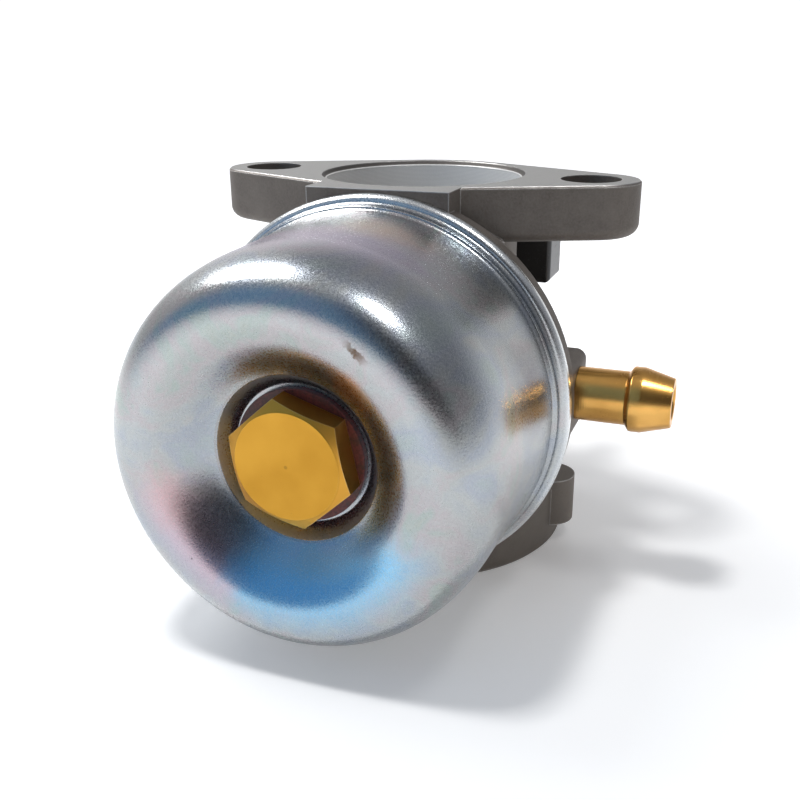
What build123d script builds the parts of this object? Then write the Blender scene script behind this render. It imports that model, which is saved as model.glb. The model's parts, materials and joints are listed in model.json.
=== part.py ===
from build123d import *
import math
import os

# Float-bowl carburetor for a small engine, in millimetres.
# Frame: +Z runs up the throat towards the inlet flange, the bowl points along -Y and the fuel
# hose tail along +X. The origin is the centre of the outlet face, on the throat axis.
# In the engine the bowl hangs down, so "down" for the fuel is -Y.

# Throat and inlet flange
flange_above_rim = 0.4
flange_thickness = 6.8
flange_wall = 2.1
flange_underside_round = 1.6
flange_top_break = 0.25
bolt_spacing = 44.45
bolt_hole_radius = 3.8
ear_radius = 6.2
block_width = 18.2
inlet_bore_step = 1.7
inlet_bore_depth = 5.0
inlet_lip_chamfer = 0.6
choke_bore_radius = 11.2
throat_wall = 1.4
venturi_radius = 7.6
venturi_half_length = 3.2
throttle_bore_radius = 9.5
cone_step = 4.2

# Outlet end
outlet_radius = 20.1
outlet_height = 8.4
outlet_recess_radius = 11.6
outlet_recess_depth = 3.0
lever_relief_gap = 0.9
lug_radius = 3.4
lug_beyond_outlet = 2.2
lug_bottom = 2.6
lug_top = 9.2

# Bowl, its cover and the column that the nut screws into
rim_width = 1.65
rim_above_surface = 0.1
rim_thickness = 1.6
bowl_radius = 22.95
bowl_wall = 0.9
bowl_depth = 28.0
crown_inset = 5.95
shoulder_length = 10.7
bowl_draft = 0.45
dish_radius = 9.4
dish_depth = 4.7
recess_radius = 8.0
recess_depth = 2.0
cover_beyond_flange = 1.7
cover_thickness = 2.6
cover_shoulder_thickness = 5.2
cover_inset = 0.2
spigot_length = 2.2
spigot_clearance = 0.35
column_wall = 1.55
gasket_width = 1.3
gasket_height = 1.1
vent_radius = 1.1
vent_above_axis = 16.4

# Bowl nut, washer, nozzle and jets
nut_across_flats = 12.7
nut_face_radius = 6.0
nut_height = 3.2
nut_turn = 42.0
nut_thread_radius = 3.4
nut_thread_length = 8.4
thread_clearance = 0.05
washer_gap = 0.45
washer_thickness = 0.9
nozzle_radius = 1.9
nozzle_bore_radius = 0.8
nozzle_tip_y = 2.5
jet_hole_radius = 0.5
port_radius = 0.9
pilot_x = 11.5
pilot_jet_radius = 1.7
pilot_jet_length = 6.0
plug_radius = 1.6
plug_length = 1.8
pilot_boss_radius = 3.6

# Fuel inlet
fuel_behind_cover = 4.4
fuel_above_axis = 0.2
fuel_drill_radius = 1.5
boss_above_fuel = 4.4
boss_below_fuel = 4.2
boss_behind_fuel = 4.3
boss_end_inset = 0.5
tail_radius = 3.31
tail_ridge_radius = 4.0
tail_tip_radius = 3.0
tail_plain_length = 6.6
tail_ridge_length = 1.3
tail_cone_length = 3.6
tail_bore_radius = 1.9
tail_shank_radius = 3.0
tail_shank_length = 5.0

# Float, needle and hinge
float_gap = 3.1
float_hole_gap = 3.2
float_above_dish = 7.0
float_drop_below_cover = 5.1
hinge_inset = 1.7
hinge_below_spigot = 3.0
hinge_pin_radius = 0.8
hinge_clearance = 0.05
hinge_eye_radius = 1.7
hinge_lug_width = 3.0
hinge_lug_thickness = 2.0
arm_half_width = 2.9
arm_side_clearance = 0.7
arm_thickness = 2.0
needle_from_hinge = 5.8
needle_radius = 2.38
needle_clearance = 0.07
needle_neck_radius = 1.2
seat_height = 1.6
seat_hole_radius = 0.9
seat_gap = 0.15
needle_foot_gap = 0.1
clip_thickness = 0.2
clip_half_width = 1.9

# Throttle
throttle_shaft_radius = 2.5
throttle_boss_wall = 1.65
throttle_boss_length = 3.4
shaft_clearance = 0.05
plate_clearance = 0.05
plate_thickness = 1.0
throttle_felt_thickness = 1.2
throttle_felt_width = 1.9
felt_bore_clearance = 0.05
lever_gap = 0.1
throttle_hub_wall = 2.0
stop_level = 3.0
arm_level_gap = 1.6
arm_level = 2.4
throttle_arm_length = 13.0
throttle_arm_angle = 60.0
throttle_arm_width = 5.0
link_hole_radius = 1.1
stop_reach = 10.5
stop_width = 2.5

# Choke
choke_below_top = 12.2
choke_shaft_radius = 3.0
choke_boss_wall = 1.35
choke_boss_length = 1.9
choke_felt_thickness = 0.6
choke_felt_width = 1.8
choke_hub_wall = 2.2
choke_lever_thickness = 3.0
choke_lever_end = 14.2
choke_pad_width = 3.2
choke_pad_depth = 7.4
choke_pad_low = 5.1
choke_pad_high = 4.6

# Screws and springs
plate_screw_radius = 1.2
plate_screw_head_radius = 2.0
plate_screw_head_height = 1.1
screw_slot = 0.6
idle_screw_x = -8.0
idle_screw_radius = 1.9
idle_boss_radius = 2.7
idle_boss_above_spring = 0.4
idle_boss_height = 5.0
idle_head_radius = 2.9
idle_head_height = 2.6
idle_tip_gap = 0.1
idle_spring_space = 4.2
idle_spring_wire = 0.35
idle_spring_turns = 4
return_spring_wire = 0.4
return_spring_turns = 2.92
spring_gap = 0.3
progression_boss_radius = 4.6
progression_hole_radius = 0.5
progression_hole_offset = 1.4
progression_plug_radius = 3.5
progression_plug_depth = 1.2
progression_boss_height = 1.6

# Places worked out from the sizes above
rim_radius = bowl_radius + rim_width
bowl_z = rim_radius + rim_above_surface
overall_height = bowl_z + rim_radius + flange_above_rim
throat_radius = choke_bore_radius + throat_wall
inlet_bore_radius = choke_bore_radius + inlet_bore_step
flange_centre_radius = inlet_bore_radius + flange_wall
cover_front = flange_centre_radius + cover_beyond_flange
lug_reach = outlet_radius + lug_beyond_outlet
flange_bottom = overall_height - flange_thickness
choke_z = overall_height - choke_below_top
cover_radius = rim_radius - cover_inset
cover_back = cover_front - cover_thickness
bowl_inner_radius = bowl_radius - bowl_wall
spigot_radius = bowl_inner_radius - spigot_clearance
spigot_front = cover_front + spigot_length
crown_y = cover_front + bowl_depth
crown_radius = bowl_radius - crown_inset
seat_ring_y = crown_y - dish_depth
recess_y = seat_ring_y - recess_depth
column_end = recess_y - bowl_wall
column_radius = nut_thread_radius + thread_clearance + column_wall
washer_radius = recess_radius - washer_gap
nut_back = recess_y + washer_thickness
nut_face = nut_back + nut_height
thread_end = nut_back - nut_thread_length
boss_end = cover_radius - boss_end_inset
fuel_y = cover_back - fuel_behind_cover
fuel_z = bowl_z + fuel_above_axis
boss_top = fuel_z + boss_above_fuel
boss_foot = fuel_z - boss_below_fuel
boss_back = fuel_y - boss_behind_fuel
pilot_plug_x = -pilot_x - pilot_boss_radius
float_radius = bowl_inner_radius - float_gap
float_hole_radius = column_radius + float_hole_gap
float_top = spigot_front + float_drop_below_cover
float_height = seat_ring_y - float_above_dish - float_top
hinge_x = float_radius - hinge_inset
hinge_y = spigot_front + hinge_below_spigot
needle_x = hinge_x - needle_from_hinge
arm_top = hinge_y - 1.2
needle_foot = arm_top - needle_foot_gap
seat_top = fuel_y + fuel_drill_radius
seat_bottom = seat_top + seat_height
throttle_boss_radius = throttle_shaft_radius + shaft_clearance + throttle_boss_wall
throttle_boss_end = throat_radius + throttle_boss_length
throttle_hub_radius = throttle_shaft_radius + throttle_hub_wall
return_radius = throttle_hub_radius + return_spring_wire + spring_gap
return_reach = return_radius + return_spring_wire
throttle_z = outlet_height + return_reach
throttle_felt_radius = throttle_shaft_radius + throttle_felt_width
lever_relief_y = throttle_boss_end + lever_relief_gap
throttle_lever_start = throttle_boss_end + throttle_felt_thickness + lever_gap
stop_end = throttle_lever_start + stop_level
arm_start = stop_end + arm_level_gap
throttle_lever_end = arm_start + arm_level
idle_screw_y = throttle_lever_start + stop_level / 2
idle_boss_bottom = throttle_z + return_reach + idle_boss_above_spring
idle_boss_top = idle_boss_bottom + idle_boss_height
choke_boss_radius = choke_shaft_radius + shaft_clearance + choke_boss_wall
choke_boss_end = throat_radius + choke_boss_length
choke_hub_radius = choke_shaft_radius + choke_hub_wall
choke_felt_radius = choke_shaft_radius + choke_felt_width
progression_boss_reach = throat_radius + progression_boss_height
choke_lever_start = choke_boss_end + choke_felt_thickness + lever_gap
shaft_blind_end = cover_back - 2.2

BASE = (Align.CENTER, Align.CENTER, Align.MIN)
os.makedirs("parts", exist_ok=True)


def bar_y(x, z, start, end, radius, mode=Mode.ADD):
    """A cylinder along Y from start to end, added to or cut from the open part."""
    with Locations(Plane(origin=(x, start, z), x_dir=(1, 0, 0), z_dir=(0, 1, 0))):
        Cylinder(radius, end - start, align=BASE, mode=mode)


def bar_x(y, z, start, end, radius, mode=Mode.ADD):
    """A cylinder along X from start to end."""
    with Locations(Plane(origin=(start, y, z), x_dir=(0, 1, 0), z_dir=(1, 0, 0))):
        Cylinder(radius, end - start, align=BASE, mode=mode)


def bar_z(x, y, start, end, radius, mode=Mode.ADD):
    """A cylinder along Z from start to end."""
    with Locations((x, y, start)):
        Cylinder(radius, end - start, align=BASE, mode=mode)


def block(x_range, y_range, z_range, mode=Mode.ADD):
    """A box between two corners, added to or cut from the open part."""
    centre = [(low + high) / 2 for low, high in (x_range, y_range, z_range)]
    size = [high - low for low, high in (x_range, y_range, z_range)]
    with Locations(tuple(centre)):
        Box(*size, mode=mode)


# Inlet flange: two ears, a round centre and a block down to the bowl cover
with BuildPart() as inlet_flange:
    with BuildSketch(Plane.XY.offset(flange_bottom)):
        Circle(flange_centre_radius)
        with Locations((-bolt_spacing / 2, 0), (bolt_spacing / 2, 0)):
            Circle(ear_radius)
        make_hull()
    extrude(amount=flange_thickness)
    fillet(inlet_flange.faces().sort_by(Axis.Z)[0].outer_wire().edges(), flange_underside_round)
    chamfer(inlet_flange.faces().sort_by(Axis.Z)[-1].outer_wire().edges(), flange_top_break)

# Bowl cover: the disc that the bowl's rim closes on, with its spigot, column and hinge lugs
with BuildPart() as bowl_cover:
    bar_y(0, bowl_z, -cover_front, -cover_back, cover_radius)
    chamfer(bowl_cover.edges().group_by(Axis.Y)[-1], 0.5)
    bar_y(0, bowl_z, -spigot_front, -cover_front, spigot_radius)
    bar_y(0, bowl_z, -column_end, -spigot_front, column_radius)
    # float hinge lugs
    for side in (-1, 1):
        inner = arm_half_width + arm_side_clearance
        low, high = sorted((side * inner, side * (inner + hinge_lug_thickness)))
        block((hinge_x - hinge_lug_width / 2, hinge_x + hinge_lug_width / 2),
              (-hinge_y - hinge_eye_radius, -spigot_front + 0.2), (bowl_z + low, bowl_z + high))
    bar_z(hinge_x, -hinge_y, bowl_z - 8, bowl_z + 8, hinge_pin_radius + hinge_clearance,
          mode=Mode.SUBTRACT)

# Body casting
with BuildPart() as carburetor_body:
    bar_z(0, 0, 0, overall_height - 1, throat_radius)
    bar_z(0, 0, 0, outlet_height, outlet_radius)
    chamfer(carburetor_body.edges().filter_by(GeomType.CIRCLE).sort_by(SortBy.RADIUS)[-2:], 0.4)
    for side in (-1, 1):
        bar_z(side * (lug_reach - lug_radius), 0, lug_bottom, lug_top, lug_radius)
    for relief in ((lever_relief_y, outlet_radius + 5), (-outlet_radius - 5, -cover_front)):
        block((-outlet_radius, outlet_radius), relief, (-1, outlet_height + 1), mode=Mode.SUBTRACT)
    add(inlet_flange.part)
    add(bowl_cover.part)
    # web between throat and cover, and the block in front of the flange
    block((-block_width / 2, block_width / 2), (-cover_back - 0.5, 0), (outlet_height - 1, flange_bottom + 1))
    block((-block_width / 2, block_width / 2), (-cover_front, 0), (bowl_z + rim_radius * 0.7, overall_height))
    # thick shoulder of the cover beside the block
    with BuildSketch(Plane.XZ.offset(cover_back - cover_shoulder_thickness)):
        with Locations((0, bowl_z)):
            Circle(cover_radius - 1.2)
        with Locations((0, bowl_z + cover_radius / 2)):
            Rectangle(2 * choke_bore_radius + 5, cover_radius, mode=Mode.INTERSECT)
    extrude(amount=cover_shoulder_thickness + 0.2)
    # fuel boss
    with BuildSketch(Plane.XZ.offset(boss_back)):
        with BuildLine():
            Polyline((throat_radius - 4, boss_top), (boss_end, boss_top), (boss_end, boss_foot),
                     (boss_end - 1.6, boss_foot - 3.4), (throat_radius - 4, boss_foot - 8), close=True)
        make_face()
        fillet(vertices().group_by(Axis.X)[-1].sort_by(Axis.Y)[-1], 1.3)
    extrude(amount=cover_back - boss_back + 0.2)
    # idle boss and its drillings
    bar_y(-pilot_x, bowl_z, -cover_back - 0.2, -4, pilot_boss_radius)
    # shaft bosses, idle screw boss and progression boss
    bar_y(0, throttle_z, 0, throttle_boss_end, throttle_boss_radius)
    bar_y(0, throttle_z, -shaft_blind_end - 1.2, 0, throttle_boss_radius)
    bar_y(0, choke_z, 0, choke_boss_end, choke_boss_radius)
    block((idle_screw_x - idle_boss_radius, idle_screw_x + idle_boss_radius), (5, idle_screw_y),
          (idle_boss_bottom, idle_boss_top))
    bar_z(idle_screw_x, idle_screw_y, idle_boss_bottom, idle_boss_top, idle_boss_radius)
    bar_x(0, throttle_z, -progression_boss_reach, 0, progression_boss_radius)
    # throat bore, from the inlet down
    with BuildSketch(Plane.XZ):
        with BuildLine():
            Polyline(
                (0, overall_height + 1), (inlet_bore_radius + inlet_lip_chamfer, overall_height + 1),
                (inlet_bore_radius + inlet_lip_chamfer, overall_height),
                (inlet_bore_radius, overall_height - inlet_lip_chamfer),
                (inlet_bore_radius, overall_height - inlet_bore_depth),
                (choke_bore_radius, overall_height - inlet_bore_depth - 0.8),
                (choke_bore_radius, choke_z - cone_step),
                (venturi_radius, bowl_z + venturi_half_length),
                (venturi_radius, bowl_z - venturi_half_length),
                (throttle_bore_radius, throttle_z + cone_step),
                (throttle_bore_radius, outlet_recess_depth),
                (outlet_recess_radius, outlet_recess_depth),
                (outlet_recess_radius, -1), (0, -1), close=True)
        make_face()
    revolve(axis=Axis.Z, mode=Mode.SUBTRACT)
    # gasket groove in the cover's face
    with BuildSketch(Plane.XY.offset(bowl_z)):
        with Locations((bowl_inner_radius + gasket_width / 2 + 0.25, -cover_front + gasket_height / 2)):
            Rectangle(gasket_width, gasket_height)
    revolve(axis=Axis((0, 0, bowl_z), (0, 1, 0)), mode=Mode.SUBTRACT)
    # bolt holes
    for side in (-1, 1):
        bar_z(side * bolt_spacing / 2, 0, flange_bottom - 1, overall_height + 1, bolt_hole_radius,
              mode=Mode.SUBTRACT)
    # column: thread, nozzle bore and the ports that let fuel in to the nut
    bar_y(0, bowl_z, -column_end - 1, -thread_end + 0.4, nut_thread_radius + thread_clearance,
          mode=Mode.SUBTRACT)
    bar_y(0, bowl_z, -thread_end - 1, 0, nozzle_radius, mode=Mode.SUBTRACT)
    bar_x(-column_end + 3.0, bowl_z, -column_radius - 1, column_radius + 1, port_radius, mode=Mode.SUBTRACT)
    # needle bore, seat drilling and fuel drilling
    bar_y(needle_x, bowl_z, -spigot_front - 1, -seat_top, needle_radius + needle_clearance,
          mode=Mode.SUBTRACT)
    bar_y(needle_x, bowl_z, -seat_top - 1, -fuel_y, seat_hole_radius, mode=Mode.SUBTRACT)
    bar_x(-fuel_y, fuel_z, needle_x, boss_end + 1, fuel_drill_radius, mode=Mode.SUBTRACT)
    bar_x(-fuel_y, fuel_z, boss_end - tail_shank_length, boss_end + 1, tail_shank_radius,
          mode=Mode.SUBTRACT)
    # idle drillings: jet from the bowl side, then across, with a plugged mouth
    bar_y(-pilot_x, bowl_z, -spigot_front - 1, -spigot_front + pilot_jet_length, pilot_jet_radius,
          mode=Mode.SUBTRACT)
    bar_y(-pilot_x, bowl_z, -spigot_front - 1, -fuel_y + 1, port_radius, mode=Mode.SUBTRACT)
    bar_x(-fuel_y, bowl_z, -pilot_x - 5, -pilot_x, port_radius, mode=Mode.SUBTRACT)
    bar_x(-fuel_y, bowl_z, -pilot_x - 5, pilot_plug_x + plug_length, plug_radius, mode=Mode.SUBTRACT)
    # bowl vent, into the inlet side of the throat
    bar_y(0, bowl_z + vent_above_axis, -spigot_front - 1, -choke_bore_radius + 1, vent_radius,
          mode=Mode.SUBTRACT)
    # shaft bearings, blind on the bowl side
    bar_y(0, throttle_z, -shaft_blind_end, throttle_boss_end + 1, throttle_shaft_radius + shaft_clearance,
          mode=Mode.SUBTRACT)
    bar_y(0, choke_z, -shaft_blind_end, choke_boss_end + 1, choke_shaft_radius + shaft_clearance,
          mode=Mode.SUBTRACT)
    # idle screw thread and progression pocket
    bar_z(idle_screw_x, idle_screw_y, idle_boss_bottom - 1, idle_boss_top + 1,
          idle_screw_radius + thread_clearance, mode=Mode.SUBTRACT)
    bar_x(0, throttle_z, -progression_boss_reach - 1, -progression_boss_reach + progression_plug_depth,
          progression_plug_radius, mode=Mode.SUBTRACT)
    for offset in (-progression_hole_offset, progression_hole_offset):
        bar_x(0, throttle_z + offset, -progression_boss_reach, -throttle_bore_radius + 1,
              progression_hole_radius, mode=Mode.SUBTRACT)
carburetor_body.part.label = "carburetor_body"
export_step(carburetor_body.part, "parts/carburetor_body.step")


def bowl_outline(inset, rim):
    """Half profile of the bowl, from its axis out over the end and back to the rim."""
    # recess floor, recess wall and seat ring; inside the shell these sit further out and back
    floor_y = -recess_y + inset
    ring = (dish_radius + inset, -seat_ring_y + inset)
    crown = (crown_radius, -crown_y + inset)
    waist = (bowl_radius - bowl_draft - inset, -crown_y + shoulder_length)
    mouth = (bowl_radius - inset, -cover_front - rim_thickness - 2.0)
    Line((0, floor_y), (recess_radius + inset, floor_y))
    Line((recess_radius + inset, floor_y), ring)
    Bezier(ring, (ring[0] + 2.1, ring[1] - 1.0), (crown[0] - 3.8, crown[1]), crown)
    Bezier(crown, (crown[0] + 4.0 - inset, crown[1]), (waist[0], waist[1] - 6.5), waist)
    Line(waist, mouth)
    if rim:
        # flare, bead and groove of the crease, then the rolled rim
        rim_y = -cover_front - rim_thickness
        flare = (bowl_radius + 0.7, rim_y - 1.1)
        bead = (bowl_radius + 0.8, rim_y - 0.75)
        groove = (bowl_radius + 0.65, rim_y - 0.3)
        roll = (rim_radius - 0.5, rim_y + 0.1)
        back = (rim_radius - 0.3, -cover_front)
        ThreePointArc(mouth, (bowl_radius + 0.25, rim_y - 1.45), flare)
        ThreePointArc(flare, (bowl_radius + 0.88, rim_y - 0.93), bead)
        Line(bead, groove)
        ThreePointArc(groove, (bowl_radius + 0.8, rim_y), roll)
        ThreePointArc(roll, (rim_radius, rim_y + 0.75), back)
        Line(back, (0, -cover_front))
        Line((0, -cover_front), (0, floor_y))
    else:
        Line(mouth, (mouth[0], -cover_front + 1))
        Line((mouth[0], -cover_front + 1), (0, -cover_front + 1))
        Line((0, -cover_front + 1), (0, floor_y))


# Bowl: pressed cup with a rolled rim, a dished end and a recess for the nut
bowl_axis = Axis((0, 0, bowl_z), (0, 1, 0))
with BuildPart() as float_bowl:
    with BuildSketch(Plane.XY.offset(bowl_z)):
        with BuildLine():
            bowl_outline(0, rim=True)
        make_face()
    revolve(axis=bowl_axis)
    with BuildSketch(Plane.XY.offset(bowl_z)):
        with BuildLine():
            bowl_outline(bowl_wall, rim=False)
        make_face()
    revolve(axis=bowl_axis, mode=Mode.SUBTRACT)
    bar_y(0, bowl_z, -recess_y - 1, -column_end + 1, nut_thread_radius + 0.3, mode=Mode.SUBTRACT)
float_bowl.part.label = "float_bowl"
export_step(float_bowl.part, "parts/float_bowl.step")

# Bowl gasket: square rubber ring in the cover's groove
with BuildPart() as bowl_gasket:
    with BuildSketch(Plane.XY.offset(bowl_z)):
        with Locations((bowl_inner_radius + gasket_width / 2 + 0.25, -cover_front + gasket_height / 2)):
            Rectangle(gasket_width, gasket_height)
    revolve(axis=bowl_axis)
bowl_gasket.part.label = "bowl_gasket"
export_step(bowl_gasket.part, "parts/bowl_gasket.step")

# Bowl nut: hexagon head with a turned face, threaded shank and a drilled main jet
nut_head_plane = Plane(origin=(0, -nut_face, bowl_z), x_dir=(1, 0, 0), z_dir=(0, 1, 0))
with BuildPart() as bowl_nut:
    with BuildSketch(nut_head_plane):
        RegularPolygon(nut_across_flats / 2, 6, major_radius=False, rotation=-nut_turn)
    extrude(amount=nut_height)
    corner_radius = nut_across_flats / math.sqrt(3)
    corner_drop = (corner_radius - nut_face_radius) * math.tan(math.radians(27))
    with BuildSketch(Plane.XY.offset(bowl_z)):
        with BuildLine():
            Polyline((0, -nut_face), (nut_face_radius, -nut_face), (corner_radius, -nut_face + corner_drop),
                     (corner_radius, -nut_back + 1), (0, -nut_back + 1), close=True)
        make_face()
    revolve(axis=bowl_axis, mode=Mode.INTERSECT)
    bar_y(0, bowl_z, -nut_back - 0.5, -thread_end, nut_thread_radius)
    chamfer(bowl_nut.edges().group_by(Axis.Y)[-1], 0.5)
    bar_y(0, bowl_z, -column_end + 3.0, -thread_end + 1, port_radius, mode=Mode.SUBTRACT)
    bar_x(-column_end + 3.0, bowl_z, -nut_thread_radius - 1, nut_thread_radius + 1, jet_hole_radius,
          mode=Mode.SUBTRACT)
bowl_nut.part.label = "bowl_nut"
export_step(bowl_nut.part, "parts/bowl_nut.step")

# Fibre washer under the nut
with BuildPart() as bowl_nut_washer:
    bar_y(0, bowl_z, -nut_back, -recess_y, washer_radius)
    bar_y(0, bowl_z, -nut_back - 1, -recess_y + 1, nut_thread_radius + 0.15, mode=Mode.SUBTRACT)
bowl_nut_washer.part.label = "bowl_nut_washer"
export_step(bowl_nut_washer.part, "parts/bowl_nut_washer.step")

# Main nozzle: brass tube from the nut up into the venturi
with BuildPart() as main_nozzle:
    bar_y(0, bowl_z, -thread_end + 0.6, -nozzle_tip_y, nozzle_radius)
    bar_y(0, bowl_z, -thread_end - 1, 0, nozzle_bore_radius, mode=Mode.SUBTRACT)
main_nozzle.part.label = "main_nozzle"
export_step(main_nozzle.part, "parts/main_nozzle.step")

# Pilot jet, pressed in from the bowl side, and the plug of its cross drilling
with BuildPart() as pilot_jet:
    bar_y(-pilot_x, bowl_z, -spigot_front, -spigot_front + pilot_jet_length, pilot_jet_radius)
    bar_y(-pilot_x, bowl_z, -spigot_front - 1, -spigot_front + pilot_jet_length + 1, jet_hole_radius,
          mode=Mode.SUBTRACT)
    block((-pilot_x - 3, -pilot_x + 3), (-spigot_front - 1, -spigot_front + 0.8),
          (bowl_z - screw_slot / 2, bowl_z + screw_slot / 2), mode=Mode.SUBTRACT)
pilot_jet.part.label = "pilot_jet"
export_step(pilot_jet.part, "parts/pilot_jet.step")

with BuildPart() as pilot_jet_plug:
    bar_x(-fuel_y, bowl_z, pilot_plug_x, pilot_plug_x + plug_length, plug_radius)
    chamfer(pilot_jet_plug.edges().group_by(Axis.X)[0], 0.3)
pilot_jet_plug.part.label = "pilot_jet_plug"
export_step(pilot_jet_plug.part, "parts/pilot_jet_plug.step")

# Progression plug: shallow pressed cup over the idle progression pocket
with BuildPart() as progression_plug:
    bar_x(0, throttle_z, -progression_boss_reach, -progression_boss_reach + 0.7, progression_plug_radius)
    bar_x(0, throttle_z, -progression_boss_reach - 0.5, -progression_boss_reach + 0.25,
          progression_plug_radius - 1.2, mode=Mode.SUBTRACT)
progression_plug.part.label = "progression_plug"
export_step(progression_plug.part, "parts/progression_plug.step")

# Fuel hose tail: turned brass, pressed into the boss
tail_ridge_start = boss_end + tail_plain_length
tail_tip = tail_ridge_start + tail_ridge_length + tail_cone_length
with BuildPart() as fuel_inlet_barb:
    with BuildSketch(Plane.XY.offset(fuel_z)):
        with BuildLine():
            Polyline(
                (boss_end - tail_shank_length, -fuel_y), (boss_end - tail_shank_length, -fuel_y + tail_shank_radius),
                (boss_end, -fuel_y + tail_shank_radius), (boss_end, -fuel_y + tail_radius),
                (tail_ridge_start - 0.5, -fuel_y + tail_radius), (tail_ridge_start, -fuel_y + tail_ridge_radius),
                (tail_ridge_start + tail_ridge_length, -fuel_y + tail_ridge_radius),
                (tail_tip, -fuel_y + tail_tip_radius), (tail_tip, -fuel_y), close=True)
        make_face()
    revolve(axis=Axis((0, -fuel_y, fuel_z), (1, 0, 0)))
    rounded = fuel_inlet_barb.edges().filter_by(GeomType.CIRCLE).sort_by(SortBy.RADIUS)[-2:]
    fillet(rounded, 0.35)
    bar_x(-fuel_y, fuel_z, boss_end - tail_shank_length - 1, tail_tip + 1, tail_bore_radius,
          mode=Mode.SUBTRACT)
    chamfer(fuel_inlet_barb.edges().group_by(Axis.X)[-1].sort_by(SortBy.RADIUS)[0], 0.25)
fuel_inlet_barb.part.label = "fuel_inlet_barb"
export_step(fuel_inlet_barb.part, "parts/fuel_inlet_barb.step")

# Needle seat: rubber ring at the top of the needle's bore
with BuildPart() as needle_seat:
    bar_y(needle_x, bowl_z, -seat_bottom, -seat_top, needle_radius + needle_clearance)
    bar_y(needle_x, bowl_z, -seat_bottom - 1, -seat_top + 1, seat_hole_radius, mode=Mode.SUBTRACT)
needle_seat.part.label = "needle_seat"
export_step(needle_seat.part, "parts/needle_seat.step")

# Inlet needle: pointed valve with three flats for the fuel and a neck for its clip
point_y = -seat_bottom + 0.3
cone_foot_y = point_y - 1.8
neck_low = -needle_foot + 0.5
neck_high = neck_low + 0.8
with BuildPart() as inlet_needle:
    with BuildSketch(Plane.XY.offset(bowl_z)):
        with BuildLine():
            Polyline(
                (needle_x, point_y), (needle_x + 0.5, point_y),
                (needle_x + seat_hole_radius - seat_gap, point_y - 0.3), (needle_x + 2.0, cone_foot_y),
                (needle_x + needle_radius, cone_foot_y), (needle_x + needle_radius, neck_high),
                (needle_x + needle_neck_radius, neck_high), (needle_x + needle_neck_radius, neck_low),
                (needle_x + 1.8, neck_low), (needle_x + 1.8, -needle_foot), (needle_x, -needle_foot),
                close=True)
        make_face()
    revolve(axis=Axis((needle_x, 0, bowl_z), (0, 1, 0)))
    flat_plane = Plane(origin=(needle_x, neck_high + 0.8, bowl_z), x_dir=(1, 0, 0), z_dir=(0, 1, 0))
    with BuildSketch(flat_plane):
        with PolarLocations(needle_radius + 0.6, 3):
            Rectangle(2.0, 6.0)
    extrude(amount=cone_foot_y - neck_high - 1.6, mode=Mode.SUBTRACT)
inlet_needle.part.label = "inlet_needle"
export_step(inlet_needle.part, "parts/inlet_needle.step")

# Float hinge pin
with BuildPart() as float_hinge_pin:
    pin_half = arm_half_width + arm_side_clearance + hinge_lug_thickness + 0.5
    bar_z(hinge_x, -hinge_y, bowl_z - pin_half, bowl_z + pin_half, hinge_pin_radius)
float_hinge_pin.part.label = "float_hinge_pin"
export_step(float_hinge_pin.part, "parts/float_hinge_pin.step")

# Float: moulded ring with an arm that turns on the pin and lifts the needle
with BuildPart() as float_ring:
    bar_y(0, bowl_z, -float_top - float_height, -float_top, float_radius)
    bar_y(0, bowl_z, -float_top - float_height - 1, -float_top + 1, float_hole_radius, mode=Mode.SUBTRACT)
    fillet(float_ring.edges(), 0.8)
    block((needle_x - 3, hinge_x), (-arm_top - arm_thickness, -arm_top),
          (bowl_z - arm_half_width, bowl_z + arm_half_width))
    bar_z(hinge_x, -hinge_y, bowl_z - arm_half_width, bowl_z + arm_half_width, hinge_eye_radius)
    block((needle_x - 3, needle_x + 2), (-float_top - 1, -arm_top - arm_thickness + 0.1),
          (bowl_z - arm_half_width, bowl_z + arm_half_width))
    bar_z(hinge_x, -hinge_y, bowl_z - 8, bowl_z + 8, hinge_pin_radius + hinge_clearance, mode=Mode.SUBTRACT)
float_ring.part.label = "float"
export_step(float_ring.part, "parts/float.step")

# Needle clip: thin plate round the needle's neck, standing on the float's arm
clip_y = (neck_low + neck_high) / 2
with BuildPart() as needle_clip:
    block((needle_x - 2.2, needle_x + 3.2), (clip_y - clip_thickness / 2, clip_y + clip_thickness / 2),
          (bowl_z - clip_half_width, bowl_z + clip_half_width))
    bar_y(needle_x, bowl_z, clip_y - 1, clip_y + 1, needle_neck_radius + 0.2, mode=Mode.SUBTRACT)
    block((needle_x - 3, needle_x), (clip_y - 1, clip_y + 1),
          (bowl_z - needle_neck_radius - 0.2, bowl_z + needle_neck_radius + 0.2), mode=Mode.SUBTRACT)
    block((needle_x + 3.0, needle_x + 3.2), (-arm_top, clip_y),
          (bowl_z - clip_half_width, bowl_z + clip_half_width))
needle_clip.part.label = "needle_clip"
export_step(needle_clip.part, "parts/needle_clip.step")


def cut_plate_flat(z, reach):
    """Mill the flat that a butterfly plate lies on, over the width of the bore."""
    block((-reach, reach), (-reach, reach), (z - plate_thickness / 2, z + reach), mode=Mode.SUBTRACT)


def slotted_screw(x, y, under_head, shank_length, shank_radius, head_radius, head_height):
    """A cheese-head screw along Z with its shank below, in the open part."""
    bar_z(x, y, under_head, under_head + head_height, head_radius)
    bar_z(x, y, under_head - shank_length, under_head + 0.1, shank_radius)
    block((x - head_radius - 1, x + head_radius + 1), (y - screw_slot / 2, y + screw_slot / 2),
          (under_head + head_height / 2, under_head + head_height + 1), mode=Mode.SUBTRACT)


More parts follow.
